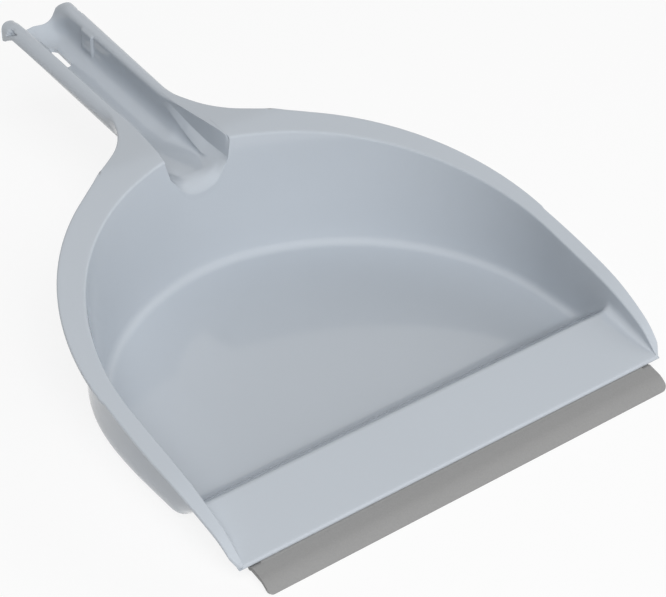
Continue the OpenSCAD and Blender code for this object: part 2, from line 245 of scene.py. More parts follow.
# Relief in each turned-down edge, in depth below the grip's top: its leaning back side, its lower side as a
# line with the cosine of its lean, its upper side, the press with its ramp, and the middle of the round.
RELIEF_BACK = 320.4
RELIEF_BACK_LEAN = 0.37
RELIEF_LOWER_LINE = (316.0, 1.4, 0.5)
RELIEF_LOWER_COSINE = 0.89
RELIEF_TOP = 0.7
RELIEF_PRESS = 2.0
RELIEF_RAMP = 0.7
RELIEF_LEAD = 0.3
RELIEF_HALF = 15.5
RELIEF_MIDDLE = (14.8, 4.8)

# End webs: places across, setback, depth of the top, fall of the outer corner, height, inner rise and sheet.
WEB_HALVES = (12.6, 18.9)
WEB_SETBACK = 0.2
WEB_TOP = 1.6
WEB_FALL = 3.2
WEB_HEIGHT = 7.4
WEB_RISE = 4.0
WEB_SHEET = 1.6

# Slot in the channel's floor: half width, how far the pull of its rounds reaches aside and beyond the ends,
# and the depth below the grip's top where it starts.
SLOT_HALF = 3.0
SLOT_FADE = 5.0
SLOT_PULL = 8.0
SLOT_DEPTH = 6.0

# Bead, rail and blade of the lip, with turns in degrees. Past its ends the bead gives way to a thinner root.
BEAD_AT = (12.6, 5.1)
BEAD_RADIUS = 2.5
BEAD_SKIN = 0.02
BEAD_TURNS = (118.0, -168.0)
BEAD_HALF = 96.7
BEAD_ROWS = (-0.5, -0.2, 0.2, 0.6, 1.5)
ROOT_RADIUS = 1.15
LIP_HALF = 100.8
RAIL_HALF = 96.8
RAIL_INSET = 6.0
RAIL_RADII = (4.18, 2.6)
RAIL_TURN = (100.0, -125.0)
BLADE_START = math.radians(14.0)
BLADE_END = math.radians(68.0)
BLADE_RADIUS = 8.7
BLADE_ROOT = (BEAD_AT[0] - 0.62 * BEAD_RADIUS, BEAD_AT[1] + 0.6 * BEAD_RADIUS)
TIP_CUT = 0.3
TIP_SHARE = 0.3
TIP_ROWS = (0.965, 0.978, 0.988, 0.995, 1.0)
LIP_LEAST = 0.02

# Finishes: surfaces of glossy plastic and matt rubber, scale per metre and detail of the noise of clouds and
# scuffs, their shares in the wear, and the depth of the texture.
PLASTIC = {"Drift": 0.03, "Speck": 0.012, "Roughness": 0.09, "Variation": 0.04, "Grain": 700.0}
RUBBER = {"Drift": 0.06, "Speck": 0.16, "Roughness": 0.62, "Variation": 0.12, "Grain": 1500.0}
CLOUD_NOISE = (14.0, 3.0)
SCUFF_NOISE = (160.0, 4.0)
CLOUD_WEAR = 0.6
SCUFF_WEAR = 0.4
TEXTURE_DEPTH = 0.0002

# Stage, in metres: lamps with their size and aim, floor, and how much of the floor shows as plain white.
LAMPS = {"key": (-0.96, -1.67, 2.3), "front": (0.0, -2.72, 1.27), "right": (2.72, 0.0, 1.27)}
LAMP_SIZE = 2.0
LAMP_AIM = (0.0, 0.0, 0.02)
STAGE_HALF = 6.0
STAGE_DROP = 0.0002
STAGE_GLOW = 0.86
WHITE = (1.0, 1.0, 1.0, 1.0)


def number(name, text, default, low, high, unit="LENGTH"):
    """A number for the panel: a length in metres unless another unit is given."""
    return bpy.props.FloatProperty(name=name, description=text, default=default, min=low, max=high, unit=unit)


def triple(name, text, default, kind="COLOR"):
    """Three numbers for the panel: a colour unless another kind is given."""
    return bpy.props.FloatVectorProperty(name=name, description=text, default=default, size=3, subtype=kind)


class PanSizes(bpy.types.PropertyGroup):
    """Sizes of the moulding that may be changed."""

    sheet: number("Sheet", "Thickness of the moulding", 0.002, 0.001, 0.003)
    floor_fillet: number("Floor fillet", "Reach of the round between floor and walls", 0.0043, 0.002, 0.009)
    rim_round: number("Rim round", "Reach of the round between wall and flange", 0.0011, 0.0004, 0.003)
    edge_round: number("Edge round", "Reach of the round on the flange's outer edge", 0.0008, 0.0002, 0.001)
    crest_round: number("Crest round", "Reach of the round on the crest of the ramp", 0.0016, 0.0005, 0.006)


class GripSizes(bpy.types.PropertyGroup):
    """Sizes of the grip that may be changed."""

    wing_round: number("Wing round", "Reach of the round on the outer edges", 0.0048, 0.002, 0.006)
    channel_lip: number("Channel lip", "Reach of the round between channel and top", 0.0026, 0.001, 0.004)
    skirt: number("Skirt", "Depth of the turned-down edges", 0.0044, 0.004, 0.008)
    slot_start: number("Slot start", "Station of the front end of the hanging slot", 0.3005, 0.296, 0.302)
    slot_length: number("Slot length", "Length of the hanging slot", 0.018, 0.014, 0.019)
    pad_height: number("Pad height", "How far the snap pads stand out of the walls", 0.001, 0.0, 0.0014)


class LipSizes(bpy.types.PropertyGroup):
    """Sizes of the rubber lip that may be changed."""

    root: number("Root", "Thickness of the blade at its bead", 0.0022, 0.0016, 0.0026)
    tip: number("Tip", "Thickness of the blade at its tip", 0.0012, 0.0006, 0.0018)
    corner: number("Corner", "Radius of the blade's corners in plan", 0.0026, 0.0005, 0.005)


class Finishes(bpy.types.PropertyGroup):
    """Colours of the finishes."""

    plastic: triple("Plastic", "Colour of the moulding", (0.475, 0.515, 0.562))
    rubber: triple("Rubber", "Colour of the lip", (0.262, 0.262, 0.261))
    floor: triple("Floor", "Colour of the floor", (0.9, 0.9, 0.9))


class StageSettings(bpy.types.PropertyGroup):
    """Camera and lamps."""

    camera_at: triple("Camera", "Place of the camera", (-0.4050, -0.5555, 0.5136), "TRANSLATION")
    camera_to: triple("Aim", "Point that the camera looks at", (0.01907, 0.00418, 0.01333), "TRANSLATION")
    lens: number("Lens", "Focal length in millimetres", 109.2, 20.0, 300.0, "CAMERA")
    even: number("Even light", "Strength of the light all round", 0.03, 0.0, 2.0, "NONE")
    key: number("Key", "Power of the high lamp, in watts", 74.0, 0.0, 400.0, "POWER")
    front: number("Front", "Power of the low lamp in front, in watts", 26.0, 0.0, 400.0, "POWER")
    right: number("Right", "Power of the low lamp on the right, in watts", 32.0, 0.0, 400.0, "POWER")


def smooth(t):
    """Smooth step: 3t squared minus 2t cubed, with t held between 0 and 1."""
    t = np.clip(t, 0.0, 1.0)
    return t * t * (3.0 - 2.0 * t)


def step_up(value, start, length):
    """Smooth step from 0 to 1 that begins at a start and takes a length."""
    return smooth((value - start) / length)


def ease(begin, end, share):
    """Value between two others, by a share."""
    return begin + (end - begin) * share


def along_line(line, y):
    """Value at a station of a line given as pairs of station and value, straight between the pairs."""
    stations, values = zip(*line)
    return np.interp(y, stations, values)


def slope_height(line, y):
    """Height at a station of a straight slope."""
    start, height, slope = line
    return height + slope * (y - start)


def soft_pick(a, b, blend, sign):
    """The higher of two heights for sign 1, the lower for sign -1, rounded where they cross: half of the sum
    of both and of the signed root of their squared gap plus a blend."""
    return 0.5 * (a + b + sign * np.sqrt((a - b) ** 2 + blend))


def rim_top(y):
    """Height of the flange: a straight slope that falls off by two squares towards the front corner, then the
    soft lower of it and the nearly level neck, and on the grip the soft higher of that and its slope."""
    front = (slope_height(RIM_LINE, y) - NOSE_FALL * np.maximum(0.0, RIM_LINE[0] - y) ** 2
             - CORNER_FALL * np.maximum(0.0, CORNER_FALL_START - y) ** 2)
    low = soft_pick(front, slope_height(LEVEL_LINE, y), LEVEL_BLEND, -1.0)
    share = step_up(y, *GRIP_STEP)
    return soft_pick(low, grip_top(y), GRIP_BLEND, 1.0) * share + low * (1.0 - share)


def grip_top(y):
    """Height of the grip's top: a straight line that rises one in ten."""
    return slope_height(GRIP_LINE, y)


def channel_floor(y):
    """Height of the channel's floor: a fixed depth below the grip's top, a little less near the tray."""
    return grip_top(y) - CHANNEL_DEPTH + MOUTH_RISE * (1.0 - step_up(y, *MOUTH_STEP))


def rounded(corners, reach, arcs, runs):
    """Profiles with rounded corners, one per row. Each corner gives way to a parabola that leaves the two
    sides at the stated reach from the corner, and each side between two rounds is cut into equal runs.
    corners is rows x corners x 3, reach is rows x corners, arcs and runs are counts of points."""
    sides = np.diff(corners, axis=1)
    span = np.linalg.norm(sides, axis=2)
    unit = sides / np.maximum(span, 1e-9)[..., None]
    cut = np.array(reach, float)
    cut[:, [0, -1]] = 0.0
    fit = np.minimum(1.0, 0.98 * span / np.maximum(cut[:, :-1] + cut[:, 1:], 1e-9))
    whole = np.ones((len(corners), 1))
    cut *= np.minimum(np.hstack([whole, fit]), np.hstack([fit, whole]))
    enter = corners - cut[..., None] * np.concatenate([unit[:, :1], unit], axis=1)
    leave = corners + cut[..., None] * np.concatenate([unit, unit[:, -1:]], axis=1)
    parts = []
    for k, count in enumerate(arcs):
        if k:
            t = np.linspace(0.0, 1.0, runs[k - 1] + 2)[1:-1][None, :, None]
            parts.append(leave[:, k - 1, None] * (1.0 - t) + enter[:, k, None] * t)
        t = (np.linspace(0.0, 1.0, count) if count > 1 else np.array([0.5]))[None, :, None]
        parts.append(enter[:, k, None] * (1.0 - t) ** 2 + 2.0 * corners[:, k, None] * t * (1.0 - t)
                     + leave[:, k, None] * t ** 2)
    return np.concatenate(parts, axis=1)


def circle(turn):
    """Points of the unit circle at some angles."""
    return np.stack([np.cos(turn), np.sin(turn)], axis=1)


def mirrored(half):
    """A grid whose columns run from the middle out, joined to its mirror image across X = 0."""
    return np.concatenate([half[:, :0:-1] * FLIP, half], axis=1)


def carried(across, section):
    """Grid with one row per place across. A row is a section as station and height, the same or its own."""
    sections = np.broadcast_to(section, (len(across), *section.shape[-2:]))
    x = np.broadcast_to(across[:, None, None], (*sections.shape[:2], 1))
    return np.concatenate([x, sections], axis=2)


def soft_end(top, bottom, reach, count, last):
    """Adds rows past one end of two matching grids, the way they run there: each pair of points draws
    together by the cosine of a turn while both move on by its sine, so the end is half round."""
    row, before = (-1, -2) if last else (0, 1)
    run = 0.5 * (top[row] - top[before] + bottom[row] - bottom[before])
    run = run / np.maximum(np.linalg.norm(run, axis=1, keepdims=True), 1e-9)
    turn = np.linspace(0.0, math.pi / 2.0, count + 1)[1:, None, None]
    mid = 0.5 * (top[row] + bottom[row])
    ends = []
    for grid in (top, bottom):
        more = mid + (grid[row] - mid) * np.cos(turn) + run * reach * np.sin(turn)
        ends.append(np.concatenate([grid, more] if last else [more[::-1], grid]))
    return ends


def shell(name, top, bottom, gap=None, angle=35.0, spine=False):
    """Closed shell between two matching grids of points in millimetres at stations: both grids become
    quads, strips close the borders, and the quads of a gap are left out and walled between the grids.
    With a spine the first columns meet their own mirror image and need no strip."""
    rows, cols = top.shape[:2]
    up = np.arange(rows * cols).reshape(rows, cols)
    low = up + rows * cols
    keep = np.ones((rows - 1, cols - 1), bool)
    borders = [np.s_[0], np.s_[-1], np.s_[:, -1]]
    if not spine:
        borders.append(np.s_[:, 0])
    if gap is not None:
        r0, r1, c0, c1 = gap
        keep[r0:r1, c0:c1] = False
        borders += [np.s_[r0, c0:c1 + 1], np.s_[r1, c0:c1 + 1], np.s_[r0:r1 + 1, c0], np.s_[r0:r1 + 1, c1]]
    quads = [np.stack([g[:-1, :-1], g[1:, :-1], g[1:, 1:], g[:-1, 1:]], axis=-1)[keep] for g in (up, low)]
    for border in borders:
        a = up[border]
        b = low[border]
        quads.append(np.stack([a[:-1], a[1:], b[1:], b[:-1]], axis=-1))
    points = np.concatenate([top.reshape(-1, 3), bottom.reshape(-1, 3)])
    points = (points - np.array([0.0, ORIGIN_STATION, 0.0])) * MM
    return closed_mesh(name, points, np.concatenate(quads), angle)


def closed_mesh(name, points, quads, angle):
    """Mesh object from points and quads: doubles merged, faces turned outwards, smooth below an angle."""
    mesh = bpy.data.meshes.new(name)
    mesh.from_pydata(points.tolist(), [], quads.tolist())
    work = bmesh.new()
    work.from_mesh(mesh)
    bmesh.ops.remove_doubles(work, verts=work.verts, dist=2e-6)
    bmesh.ops.dissolve_degenerate(work, dist=1e-7, edges=work.edges)
    bmesh.ops.recalc_face_normals(work, faces=work.faces)
    work.to_mesh(mesh)
    work.free()
    mesh.shade_smooth()
    mesh.set_sharp_from_angle(angle=math.radians(angle))
    return placed(name, mesh)


def placed(name, data):
    """A new object that holds some data, put into the scene."""
    thing = bpy.data.objects.new(name, data)
    bpy.context.scene.collection.objects.link(thing)
    return thing


def arc_offset(full, turn):
    """How far a quarter arc's centre lies off the middle: in full, fading out over the last 20 degrees."""
    return full * (1.0 - step_up(turn, math.radians(70.0), math.radians(20.0)))


def plan_curve(plan, side, turn):
    """Half of a tray outline: a straight side at the half width, then a quarter arc whose offset centre
    slides to the middle as it nears the back, so the two halves meet without a kink.
    side holds shares of the straight side, turn holds angles of the arc in radians."""
    half, radius, centre = plan
    offset = arc_offset(radius - half, turn)
    x = np.concatenate([np.full(len(side), half), radius * np.cos(turn) - offset])
    y = np.concatenate([RAMP_FRONT + side * (centre - RAMP_FRONT), centre + radius * np.sin(turn)])
    return np.stack([x, y], axis=1)


def rim_curve(side, turn):
    """Half of the flange's outer edge: the rim's plan, drawn out radially onto the straight line of the neck,
    and held inside the bow of the side and the round of the front corner."""
    rim = plan_curve(RIM_PLAN, side, turn)
    neck = 1.0 / np.cos(np.clip(turn - RIM_TOUCH, 0.0, 0.6)) - 1.0
    stretch = neck * (1.0 - step_up(turn, *STRETCH_STEP))
    rim[len(side):] += stretch[:, None] * RIM_PLAN[1] * circle(turn)
    y = rim[:, 1]
    bow = np.sqrt(BOW_RADIUS ** 2 - (y - BOW_STATION) ** 2) - BOW_OFFSET
    ahead = np.maximum(0.0, CORNER_AT[1] - y)
    corner = CORNER_AT[0] + np.sqrt(np.maximum(CORNER_ROUND ** 2 - ahead ** 2, 0.0))
    for end, limit in ((BOW_END, bow), (CORNER_AT[1], corner)):
        rim[:, 0] = np.minimum(rim[:, 0], np.where(y < end, limit, np.inf))
    return rim


def base_lines(crest):
    """Side view of ramp, riser and floor, and of their underside: rounded lines as station and height."""
    lines = []
    for corners, reaches in ((RAMP_TOP, (crest, FOOT_REACH)), (RAMP_UNDER, UNDER_REACHES)):
        points = np.array([[(0.0, *corner) for corner in corners]])
        reach = np.array([[0.0, *reaches, 0.0]])
        lines.append(rounded(points, reach, [1, 9, 11, 1], [30, 10, 14])[0])
    return lines


def notch_line(x, front):
    """Height of the wall's top edge in the opening for the channel, read off the front row of the grip."""
    half = front[(front[:, 0] >= 0.0) & (front[:, 2] < NECK_UNDER)]
    order = np.argsort(half[:, 0])
    return np.interp(np.abs(x), half[order, 0], half[order, 2])


def tray_turns():
    """Angles of the tray's rows round the back, closer together near the middle and with a pair at the corner
    of the notch, and the angle of that corner."""
    fine = np.radians(np.linspace(60.0, 90.0, 601))
    corner = np.interp(-NOTCH_HALF, -plan_curve(WALL_PLAN, np.zeros(0), fine)[:, 0], fine)
    turn = np.concatenate([np.radians(np.linspace(0.6, 80.0, 85)), np.radians(np.linspace(80.3, 90.0, 34)),
                           corner + np.array([-0.0005, 0.0005])])
    return np.sort(turn), corner


def outward(curve):
    """Unit normals of a plan curve that point away from the tray, the last one straight back."""
    along = np.gradient(curve, axis=0)
    out = np.stack([along[:, 1], -along[:, 0]], axis=1)
    out = out / np.linalg.norm(out, axis=1, keepdims=True)
    out[-1] = [0.0, 1.0]
    return out


def tray_grids(sizes, front):
    """Upper and lower grid of tray and flange, with the front row of the grip given. Rows follow the outline
    from the left front corner round the back to the right one. Columns run from the spine over floor, fillet,
    wall and flange to the outer edge."""
    sheet = sizes.sheet / MM
    upper, lower = base_lines(sizes.crest_round / MM)
    side_y = upper[:, 1]
    side = (side_y - RAMP_FRONT) / (FLOOR_PLAN[2] - RAMP_FRONT)
    turn, corner_turn = tray_turns()
    count = len(side) + len(turn)
    arc = np.arange(count) >= len(side)
    open_row = np.append(np.zeros(len(side), bool), turn > corner_turn)
    low = plan_curve(FLOOR_PLAN, side, turn)
    high = plan_curve(WALL_PLAN, side, turn)
    rim = rim_curve(side, turn)
    out = outward(low)

    def rows(values, back):
        return np.concatenate([values, np.full(len(turn), back)])

    def wall(z, grow):
        t = ((z - FLOOR_LEVEL) / (WALL_LEVEL - FLOOR_LEVEL))[:, None]
        return ease(low, high, t) + grow * out

    def line(plan, z):
        return np.concatenate([plan, z[:, None]], axis=1)

    base_z = rows(upper[:, 2], FLOOR_LEVEL)
    under_z = rows(np.interp(side_y, lower[:, 1], lower[:, 2]), 0.0)
    top_z = rim_top(low[:, 1])
    for _ in range(8):
        top_z = np.maximum(rim_top(wall(top_z, 0.0)[:, 1]), base_z + LEAST_WALL)
    rim[:, 0] = np.maximum(rim[:, 0], np.where(arc, -np.inf, wall(top_z, 0.0)[:, 0] + LEAST_FLANGE))
    rim_z = np.maximum(rim_top(rim[:, 1]), np.where(arc, 0.0, base_z) + LEAST_EDGE)
    notch_z = notch_line(wall(np.full(count, NOTCH_LEVEL), 0.0)[:, 0], front)
    top_z = np.where(open_row, notch_z, top_z)
    inner = wall(top_z, 0.0)
    tuck = np.where(open_row, np.clip((TUCK_HALF - inner[:, 0]) / TUCK_FADE, 0.0, 1.0), 0.0)
    edge = np.where(open_row[:, None], wall(top_z, 0.6 * sheet), rim)
    edge_z = np.where(open_row, top_z + TUCK_EDGE * tuck, rim_z)
    lip = np.where(open_row, NOTCH_EDGE, sheet)
    brow = np.where(open_row[:, None], wall(top_z - lip, 0.9 * sheet), wall(top_z - sheet, sheet))
    spine = np.stack([np.zeros(count), rows(side_y, FLOOR_PLAN[2])], axis=1)
    foot = np.where(arc[:, None], low, np.stack([wall(base_z, 0.0)[:, 0], low[:, 1]], axis=1))
    heel = low + out * (sheet + HEEL_SWELL * step_up(low[:, 1:], *HEEL_STEP))
    sole = np.where(arc[:, None], heel, np.stack([foot[:, 0] + sheet, foot[:, 1]], axis=1))
    middle = line(edge, edge_z - 0.5 * lip)
    top = np.stack([line(spine, base_z), line(foot, base_z), line(inner, top_z), line(edge, edge_z), middle],
                   axis=1)
    bottom = np.stack([line(spine, under_z), line(sole, under_z), line(brow, top_z - lip + TUCK_BROW * tuck),
                       line(edge, edge_z - lip), middle], axis=1)
    rise = np.maximum(top_z - base_z, 0.5)
    rim_reach = np.where(open_row, NOTCH_REACH, np.minimum(sizes.rim_round / MM, RIM_SHARE * rise))
    edge_reach = np.where(arc, step_up(rim[:, 0], *EDGE_STEP), 1.0) * sizes.edge_round / MM
    none = np.zeros(count)
    fillet = np.minimum(sizes.floor_fillet / MM, FOOT_SHARE * rise)
    heel_reach = np.minimum(HEEL_REACH, FOOT_SHARE * rise)
    reach_top = np.stack([none, fillet, rim_reach, edge_reach, none], axis=1)
    reach_bottom = np.stack([none, heel_reach, np.minimum(rim_reach, 1.0), edge_reach, none], axis=1)
    grids = []
    for corners, reach in ((top, reach_top), (bottom, reach_bottom)):
        half = rounded(corners, reach, [1, 11, 7, 5, 1], [7, 9, 9, 1])
        half = crowned(half, line(inner, top_z), line(edge, edge_z), arc & ~open_row)
        grids.append(np.concatenate([half * FLIP, half[-2::-1]]))
    return soft_end(*soft_end(*grids, SHEET_END, 5, False), SHEET_END, 5, True)


def crowned(grid, inner, edge, rows):
    """Lifts the flange of some rows from the straight line between its edges onto the line of its height, by
    each point's share of the way."""
    run = (edge - inner)[:, None]
    share = np.clip((grid[..., 1] - inner[:, None, 1]) / run[..., 1], 0.0, 1.0)
    chord = inner[:, None, 2] + share * run[..., 2]
    lift = rim_top(inner[:, None, 1] + share * run[..., 1]) - chord
    lifted = grid.copy()
    lifted[..., 2] += np.where(rows[:, None], lift, 0.0)
    return lifted


def neck_outline(y):
    """Half width of neck and grip: a straight line from the rim, the hollow arc of the neck, then straight
    sides that open to the end."""
    arc = NECK_HALF + NECK_ROUND - np.sqrt(np.maximum(NECK_ROUND ** 2 - (y - NECK_STATION) ** 2, 0.0))
    line = NECK_TOUCH[0] + (NECK_TOUCH[1] - y) * math.tan(RIM_TOUCH)
    arc = np.where(y < NECK_TOUCH[1], line, arc)
    sides = NECK_HALF + (GRIP_HALF - NECK_HALF) * (y - TAPER_START) / (GRIP_END - TAPER_START)
    arc = np.where(y < NECK_STATION, arc, 0.0)
    return np.where(y < SIDES_START, arc, np.maximum(sides, arc))


def wall_station(x, z):
    """Station of the tray's back wall at a place across and a height, near the middle."""
    t = (z - FLOOR_LEVEL) / (WALL_LEVEL - FLOOR_LEVEL)
    half, radius, centre = (ease(low, high, t) for low, high in zip(FLOOR_PLAN, WALL_PLAN))
    offset = arc_offset(radius - half, np.arccos(np.abs(x) / radius))
    return centre + np.sqrt(radius ** 2 - (np.abs(x) + offset) ** 2)


def grip_rows(slot_start, slot_end):
    """Stations of the grip's rows: an arc where the channel floor rolls over into the back wall, then
    steps that meet both ends of the slot."""
    roll = np.radians(np.linspace(WALL_LEAN, 0.0, 15))
    (gap, before, count), end_rows = END_ROWS
    return np.concatenate([
        MOUTH_START - MOUTH_ROLL * np.sin(roll),
        *(np.linspace(*stretch) for stretch in NECK_ROWS),
        np.linspace(PAD_ROWS[0], slot_start, PAD_ROWS[1]),
        np.linspace(slot_start, slot_end, SLOT_ROWS)[1:],
        np.linspace(slot_end + gap, before, count),
        np.linspace(*end_rows)])


def grip_corners(y0, sheet, skirt):
    """Corners of the grip's sections on top and underneath, from the middle out: middle and edge of the
    channel floor, foot and ridge of the gusset face, channel edge, outer edge, lower edge and its end."""
    share = (y0 - y0[0]) / (y0[-1] - y0[0])
    tail = step_up(y0, *TAIL_STEP)
    roll = np.arcsin(np.clip((MOUTH_START - y0) / MOUTH_ROLL, 0.0, 1.0))
    turn_up = np.maximum(y0 - (TONGUE_END - SCOOP_LENGTH), 0.0)
    scoop = SCOOP_ROUND - np.sqrt(SCOOP_ROUND ** 2 - turn_up ** 2)
    floor_z = channel_floor(np.maximum(y0, MOUTH_START)) - MOUTH_ROLL * (1.0 - np.cos(roll)) + scoop
    floor_x = ease(along_line(FLOOR_HALF, y0), TAIL_FLOOR, tail)
    floor_y = y0 - TAIL_BACK * tail
    edge_y = ease(*EDGE_RUN, share)
    edge_x = ease(along_line(EDGE_HALF, edge_y), TAIL_EDGE, tail)
    edge_z = (rim_top(edge_y) - TOP_DROP - FRONT_DIP * (1.0 - step_up(edge_y, *FRONT_DIP_STEP))
              - END_DIP * step_up(edge_y, *END_DIP_STEP))
    foot_y = ease(wall_station(*FOOT_AT_WALL) - SKIN_GAP, FOOT_END, share)
    channel = step_up(foot_y, *CHANNEL_STEP)
    foot_x = ease(along_line(FOOT_HALF, foot_y), TAIL_FOOT, tail)
    foot_z = along_line(FOOT_HEIGHT, foot_y)
    foot_z = ease(foot_z, np.minimum(floor_z + FOOT_RISE, edge_z - FOOT_BELOW), channel)
    foot_z = ease(foot_z, grip_top(foot_y) - TAIL_FOOT_DEPTH, tail)
    ridge_y = ease(wall_station(*RIDGE_AT_WALL) - SKIN_GAP, RIDGE_END, share)
    ridge_x = ease(along_line(RIDGE_HALF, ridge_y), TAIL_RIDGE, tail)
    ridge_z = ease(along_line(RIDGE_HEIGHT, ridge_y), 0.5 * (foot_z + edge_z), channel)
    ridge_z = np.clip(ridge_z, foot_z + RIDGE_ABOVE, edge_z - RIDGE_BELOW)
    wing_y = ease(*WING_RUN, share)
    wing_x = neck_outline(np.maximum(wing_y, NECK_FRONT))
    wing_z = rim_top(wing_y) - TOP_DROP
    deeper = DEEPEN * np.interp(wing_y, DEEPEN_RUN, (0.0, 1.0))
    depth = ease(sheet, skirt, step_up(wing_y, *SKIRT_STEP)) + deeper
    zero = np.zeros(len(y0))
    top = np.array([
        (zero, y0, floor_z), (floor_x, floor_y, floor_z), (foot_x, foot_y, foot_z),
        (ridge_x, ridge_y, ridge_z), (edge_x, edge_y, edge_z), (wing_x, wing_y, wing_z),
        (wing_x, wing_y, wing_z - depth), (wing_x - 0.5 * sheet, wing_y, wing_z - depth)]).transpose(2, 0, 1)
    across = np.array([0.0, sheet, sheet, sheet, sheet, -sheet, -sheet, 0.0])
    down = np.array([sheet, sheet, GUSSET_SHEET, GUSSET_SHEET, sheet, sheet, 0.0, 0.0])
    low = top + np.stack([across, 0.0 * across, -down], axis=1)
    low[:, 6, 2] = wing_z - np.maximum(depth, sheet + 0.02)
    return top, low


def grip_reaches(corners, sheet, sizes):
    """Reaches of the rounds at the corners of the grip's sections, on top and underneath."""
    y0 = corners[:, 0, 1]
    floor_x = corners[:, 1, 0]
    edge_y = corners[:, 4, 1]
    wing_y = corners[:, 5, 1]
    edge = ease(EDGE_REACH, sizes.channel_lip / MM, step_up(edge_y, *EDGE_REACH_STEP))
    wing = (ease(WING_REACH_RIM, WING_REACH_NECK, step_up(wing_y, *WING_NECK_STEP))
            + (sizes.wing_round / MM - WING_REACH_NECK) * step_up(wing_y, *WING_GRIP_STEP))
    wing_low = np.maximum(wing - sheet, 0.3) * step_up(wing_y, *SKIRT_STEP)
    floor = floor_x - FLOOR_FLAT + FLOOR_EXTRA * (1.0 - step_up(y0, *FLOOR_STEP))
    zero = np.zeros(len(y0))
    crease = zero + CREASE_REACH
    hem = zero + HEM_REACH
    edge_low = zero + EDGE_REACH_LOW
    top = np.stack([zero, floor, crease, crease, edge, wing, hem, zero], axis=1)
    low = np.stack([zero, floor + FLOOR_EXTRA_LOW, crease, crease, edge_low, wing_low, hem, zero], axis=1)
    return top, low


def grip_grids(scene):
    """Upper and lower grid of neck and grip, and the slot's rows and columns, with the hem's row counted.
    Rows follow the grip back, columns run across it."""
    grip = scene.dustpan_grip
    sheet = scene.dustpan_pan.sheet / MM
    slot_start = grip.slot_start / MM
    slot_end = slot_start + grip.slot_length / MM
    y0 = grip_rows(slot_start, slot_end)
    corners = grip_corners(y0, sheet, grip.skirt / MM)
    reaches = grip_reaches(corners[0], sheet, grip)
    grids = [mirrored(rounded(points, reach, [1, 13, 5, 5, 9, 13, 5, 1], [5, 4, 4, 3, 5, 11, 1]))
             for points, reach in zip(corners, reaches)]
    middle = grids[0].shape[1] // 2
    first = int(np.argmin(np.abs(y0 - slot_start)))
    last = int(np.argmin(np.abs(y0 - slot_end)))
    gap = (first + 1, last + 1, middle - SLOT_COLUMNS, middle + SLOT_COLUMNS)
    top, low = (slot_ends(grid, slot_start, slot_end) for grid in grids)
    top = front_hem(relief(snap_pads(top, grip.pad_height / MM)), True)
    low = front_hem(relief(low), False)
    upper, lower = soft_end(top, low, SHEET_END, 4, True)
    return upper, lower, gap


def front_hem(grid, ahead):
    """Adds a row in front of the channel part, carried on down the tray's back wall. On the upper grid, which
    lies ahead, the first row is laid onto the face of that wall."""
    channel = grid[0, :, 2] < NECK_UNDER
    moved = grid.copy()
    if ahead:
        moved[0, channel, 1] = wall_station(moved[0, channel, 0], moved[0, channel, 2]) - SKIN_GAP
    hem = moved[0] + np.array(WALL_DOWN) * HEM_LENGTH * channel[:, None]
    return np.concatenate([hem[None], moved])


def slot_ends(grid, start, end):
    """Draws the rows at both ends of the slot into half circles, fading out to either side and beyond."""
    x = np.abs(grid[..., 0])
    y = grid[..., 1]
    inside = SLOT_HALF - np.sqrt(np.maximum(SLOT_HALF ** 2 - np.minimum(x, SLOT_HALF) ** 2, 0.0))
    beside = SLOT_HALF * np.clip(1.0 - (x - SLOT_HALF) / SLOT_FADE, 0.0, 1.0)
    bulge = np.where(x <= SLOT_HALF, inside, beside)
    pull = along_line(((start - SLOT_PULL, 0.0), (start, 1.0), (end, -1.0), (end + SLOT_PULL, 0.0)), y)
    moved = grid.copy()
    moved[..., 1] += bulge * pull * (grid[..., 2] < grip_top(y) - SLOT_DEPTH)
    return moved


def plateau(value, bounds):
    """One between two bounds and zero outside, with a smooth ramp inside each bound."""
    (low, low_ramp), (high, high_ramp) = bounds
    return smooth((value - low) / low_ramp) * smooth((high - value) / high_ramp)


def snap_pads(grid, height):
    """Raises a flat pad on each channel wall: a smooth plateau along the grip, in depth and across."""
    x = grid[..., 0]
    y = grid[..., 1]
    along = plateau(y, PAD_RUN)
    down = plateau(grip_top(y) - grid[..., 2], PAD_DEPTH)
    side = plateau(np.abs(x), PAD_PLACE)
    raised = grid.copy()
    raised[..., 0] -= np.sign(x) * height * along * down * side
    return raised


def relief(grid):
    """Presses a three-cornered relief into each turned-down edge in front of the end, towards the middle of
    the edge's round, where a point lies inside all three sides."""
    x = np.abs(grid[..., 0])
    y = grid[..., 1]
    depth = grip_top(y) - grid[..., 2]
    back = RELIEF_BACK + RELIEF_BACK_LEAN * depth - y
    lower = RELIEF_LOWER_COSINE * (slope_height(RELIEF_LOWER_LINE, y) - depth)
    inside = np.minimum(np.minimum(depth - RELIEF_TOP, back), lower)
    press = RELIEF_PRESS * smooth(inside / RELIEF_RAMP + RELIEF_LEAD) * (x > RELIEF_HALF)
    inward = np.stack([RELIEF_MIDDLE[0] - x, depth - RELIEF_MIDDLE[1]], axis=-1)
    inward *= (press / np.maximum(np.linalg.norm(inward, axis=-1), 1e-6))[..., None]
    pressed = grid.copy()
    pressed[..., 0] += np.sign(grid[..., 0]) * inward[..., 0]
    pressed[..., 2] += inward[..., 1]
    return pressed


